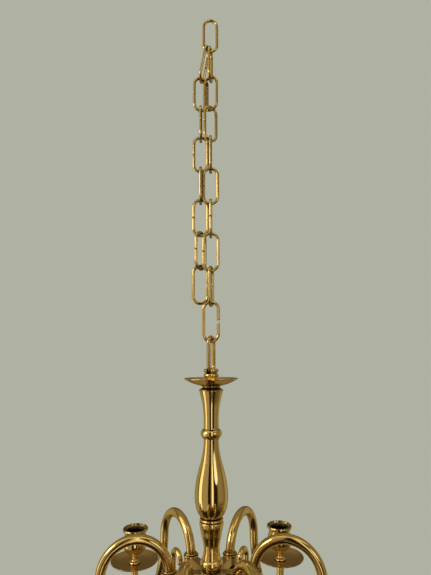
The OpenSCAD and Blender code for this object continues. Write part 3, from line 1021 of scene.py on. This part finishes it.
def studio_world():
    """A flat pale wall for the camera to see, and a dim warm room for the brass to reflect.

    A bearing is in degrees, 0 towards the camera and 90 to the camera's right. A height runs
    from -1 straight down to 1 straight up."""
    world = bpy.data.worlds.new("studio")
    bpy.context.scene.world = world
    world.use_nodes = True
    tree = world.node_tree
    tree.nodes.clear()
    g = Graph(tree)
    way = g.add("ShaderNodeSeparateXYZ",
                {0: g.add("ShaderNodeTexCoord").outputs["Generated"]}).outputs
    around = g.math("DEGREES", g.math("ARCTAN2", way[0], g.math("MULTIPLY", way[1], -1.0)))
    height = way[2]

    def panel(under, centre, half, low, high, shade, soft):
        """A soft-edged panel over what lies under it: its bearing and half width, its lowest
        and highest height, its colour, and how many degrees its sides fade over."""
        off = g.math("ABSOLUTE", g.math("SUBTRACT", around, centre))
        across = g.spread(off, half, half + soft, 1.0, 0.0)
        lower = g.spread(height, low - 0.12, low, 0.0, 1.0)
        upper = g.spread(height, high, high + 0.12, 1.0, 0.0)
        return g.mix(g.math("MULTIPLY", across, g.math("MULTIPLY", lower, upper)), under, shade)

    front, back = colour(0.27, 0.21, 0.11), colour(0.15, 0.118, 0.066)
    behind = g.spread(g.math("ABSOLUTE", around), 84.0, 112.0, 0.0, 1.0)
    room = g.mix(behind, front, back)
    ceiling = g.spread(height, 0.35, 0.85, 0.0, 1.0)
    room = g.mix(ceiling, room, colour(0.30, 0.26, 0.18))
    floor = g.mix(behind, colour(0.022, 0.015, 0.008), colour(0.26, 0.19, 0.095))
    room = g.mix(g.spread(height, -0.75, -0.25, 1.0, 0.0), room, floor)
    panels = [
        # The front: a bright band overhead, a paler wall, a dark doorway, a narrow bright window
        # and a second dark doorway
        (0.0, 70.0, 0.80, 0.88, colour(0.95, 0.8, 0.5), 30.0),
        (-42.0, 18.0, -0.6, 0.6, colour(0.42, 0.34, 0.25), 12.0),
        (-14.0, 7.0, -0.9, 0.75, colour(0.012, 0.008, 0.006), 5.0),
        (9.0, 4.0, -0.45, 0.8, colour(1.5, 1.35, 1.1), 3.0),
        (31.0, 10.0, -0.9, 0.7, colour(0.02, 0.014, 0.01), 7.0),
        # Two paler stretches of the back wall
        (128.0, 14.0, -0.5, 0.35, colour(0.40, 0.35, 0.19), 12.0),
        (-128.0, 14.0, -0.5, 0.35, colour(0.40, 0.35, 0.19), 12.0),
        # A window at the left, and a paler wall at the right
        (-82.0, 9.0, -0.5, 0.7, colour(1.6, 1.4, 1.0), 6.0),
        (66.0, 12.0, -0.3, 0.5, colour(0.30, 0.24, 0.16), 10.0),
    ]
    for centre, half, low, high, shade, soft in panels:
        room = panel(room, centre, half, low, high, shade, soft)
    seen = g.add("ShaderNodeLightPath").outputs["Is Camera Ray"]
    shown = g.mix(seen, room, WALL)
    light = g.add("ShaderNodeBackground", {"Color": shown, "Strength": 1.0})
    g.add("ShaderNodeOutputWorld", {"Surface": light.outputs[0]})


def area_light(name, place, target, size, power, tint):
    """A round soft light, aimed at its target and hidden from the camera. Metres and watts."""
    data = bpy.data.lights.new(name, "AREA")
    data.shape, data.size, data.energy, data.color = "DISK", size, power, tint
    lamp = bpy.data.objects.new(name, data)
    bpy.context.scene.collection.objects.link(lamp)
    lamp.location = place
    lamp.rotation_mode = "QUATERNION"
    lamp.rotation_quaternion = (Vector(target) - Vector(place)).to_track_quat("-Z", "Y")
    lamp.visible_camera = False


def studio_floor():
    """A pale round floor well below the lamp, fading into the wall at its edge."""
    outline = [(radius, FLOOR_Z) for radius in (0.0, 400.0, 800.0, 1200.0, 1600.0)]
    made = mesh_object("studio_floor", lathe(outline, 96, looped=False))
    paint = bpy.data.materials.new("studio_floor")
    paint.use_nodes = True
    tree = paint.node_tree
    tree.nodes.clear()
    g = Graph(tree)
    place = g.add("ShaderNodeTexCoord").outputs["Object"]
    flat = g.vector("MULTIPLY", place, (1.0, 1.0, 0.0))
    out = g.add("ShaderNodeVectorMath", {0: flat}, operation="LENGTH").outputs["Value"]
    fade_from, fade_to = 0.75, 1.5  # metres from the lamp's axis
    fade = g.spread(out, fade_from, fade_to, 0.0, 1.0)
    pale = g.add("ShaderNodeBsdfDiffuse", {"Color": colour(0.70, 0.82, 0.90)})
    clear = g.add("ShaderNodeBsdfTransparent")
    mixed = g.add("ShaderNodeMixShader", {0: fade, 1: pale.outputs[0], 2: clear.outputs[0]})
    g.add("ShaderNodeOutputMaterial", {"Surface": mixed.outputs[0]})
    made.data.materials.append(paint)
    made.visible_glossy = False


def camera():
    """Level with the eye, looking a little upwards."""
    data = bpy.data.cameras.new("camera")
    data.sensor_width = 36.0
    data.lens = CAMERA_LENS
    made = bpy.data.objects.new("camera", data)
    bpy.context.scene.collection.objects.link(made)
    pitch = Matrix.Rotation(math.radians(90 + CAMERA_PITCH), 4, "X")
    roll = Matrix.Rotation(math.radians(CAMERA_ROLL), 4, "Z")
    made.matrix_world = Matrix.Translation(Vector(CAMERA_PLACE) * MM) @ pitch @ roll
    data.clip_start = 0.02
    bpy.context.scene.camera = made


studio_world()
studio_floor()
area_light("key", (-1.9, -1.0, 0.5), (0, 0, -0.5), 0.9, 13.0, (1.0, 0.93, 0.82))
area_light("fill", (1.6, -2.0, 0.2), (0, 0, -0.5), 1.2, 5.0, (0.95, 0.97, 1.0))
camera()
bpy.context.scene.view_settings.view_transform = "Standard"
